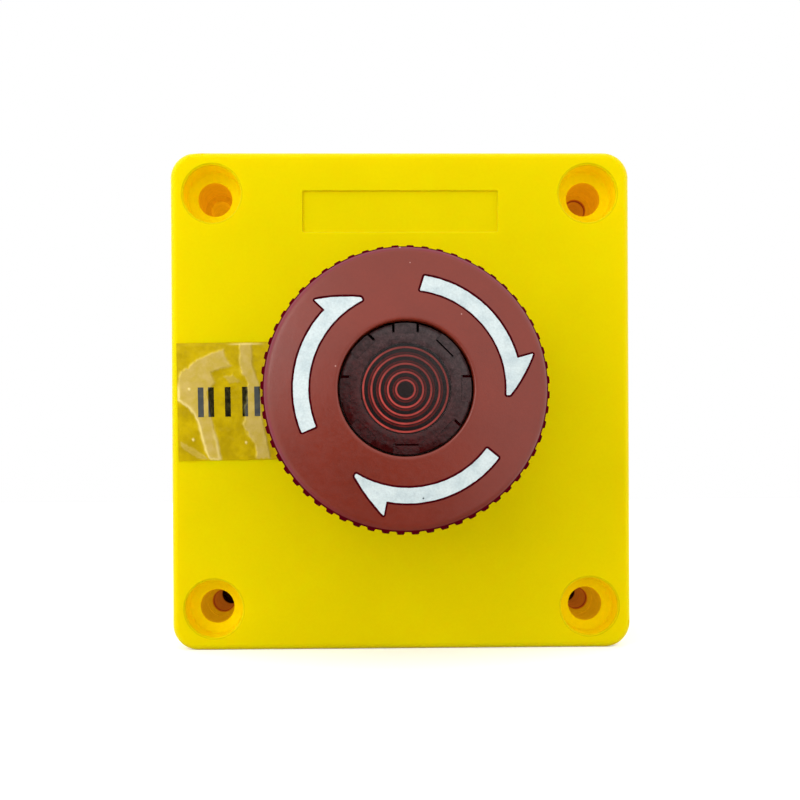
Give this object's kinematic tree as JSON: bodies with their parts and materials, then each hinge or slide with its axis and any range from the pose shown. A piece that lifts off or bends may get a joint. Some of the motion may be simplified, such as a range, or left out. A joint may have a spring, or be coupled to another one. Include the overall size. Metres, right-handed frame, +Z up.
{
  "type": "emergency stop station",
  "caption": "Yellow wall box with a red mushroom head that is pushed to stop and turned to release, over a smoked lens, a lamp and opening and closing contacts.",
  "frame": {"origin": "centre of the rear box's back face, which lies against the wall", "axes": "+Z up and +X to the right as seen from the front; the panel and the head face -Y, and +Y points into the wall"},
  "size_m": [0.072, 0.0851, 0.078],
  "materials": {
    "yellow_plastic": "satin moulded ABS",
    "red_plastic": "satin moulded ABS",
    "white_inlay": "matt",
    "smoked_lens": "clear dark red polycarbonate",
    "clear_film": "clear adhesive film",
    "black_plastic": "satin",
    "rubber": "matt",
    "nylon": "satin",
    "spring_steel": "drawn",
    "plated_steel": "zinc plated",
    "contact_brass": "plain",
    "red_block": "satin",
    "green_block": "satin",
    "lamp_diffuser": "frosted"
  },
  "bodies": {
    "station": {"front_cover": "yellow_plastic", "rear_box": "yellow_plastic", "cover_gasket": "rubber", "stop_label": "clear_film", "operator_body": "black_plastic", "shaft_seal": "rubber", "spring_washer": "spring_steel", "return_spring": "spring_steel", "latch_clip": "spring_steel", "panel_gasket": "rubber", "locating_washer": "spring_steel", "lock_nut": "black_plastic", "contact_carrier": "black_plastic", "carrier_screw_1": "plated_steel", "carrier_screw_2": "plated_steel", "nc_housing": "red_block", "nc_cover": "red_block", "nc_spring": "spring_steel", "nc_terminal_1": "contact_brass", "nc_terminal_2": "contact_brass", "nc_terminal_screw_1": "plated_steel", "nc_terminal_screw_2": "plated_steel", "no_housing": "green_block", "no_cover": "green_block", "no_spring": "spring_steel", "no_terminal_1": "contact_brass", "no_terminal_2": "contact_brass", "no_terminal_screw_1": "plated_steel", "no_terminal_screw_2": "plated_steel", "lamp_block": "black_plastic", "lamp_holder": "black_plastic", "lamp_base": "contact_brass", "lamp_bulb": "lamp_diffuser", "lamp_terminal_1": "contact_brass", "lamp_terminal_2": "contact_brass", "lamp_terminal_screw_1": "plated_steel", "lamp_terminal_screw_2": "plated_steel"},
    "push_carriage": {"push_foot": "nylon"},
    "twist_head": {"mushroom_head": "red_plastic", "arrow_inlay_1": "white_inlay", "arrow_inlay_2": "white_inlay", "arrow_inlay_3": "white_inlay", "lens": "smoked_lens", "head_circlip": "spring_steel", "plunger": "nylon"},
    "nc_actuator": {"nc_plunger": "red_block", "nc_bridge": "contact_brass"},
    "no_actuator": {"no_plunger": "green_block", "no_bridge": "contact_brass"}
  },
  "joints": [
    {"name": "head_push", "type": "slide", "parent": "station", "child": "push_carriage", "axis": [0, 1, 0], "range_m": [0, 0.005], "deforming": ["return_spring"]},
    {"name": "head_twist", "type": "hinge", "parent": "push_carriage", "child": "twist_head", "pos_m": [0, -0.055, 0], "axis": [0, 1, 0], "range_deg": [0, 40]},
    {"name": "nc_contact", "type": "slide", "parent": "station", "child": "nc_actuator", "axis": [0, 1, 0], "range_m": [0, 0.005], "deforming": ["nc_spring"]},
    {"name": "no_contact", "type": "slide", "parent": "station", "child": "no_actuator", "axis": [0, 1, 0], "range_m": [0, 0.005], "deforming": ["no_spring"]}
  ],
  "couplings": [
    {"joint": "nc_contact", "follows": "head_push", "ratio": 1},
    {"joint": "no_contact", "follows": "head_push", "ratio": 1}
  ]
}
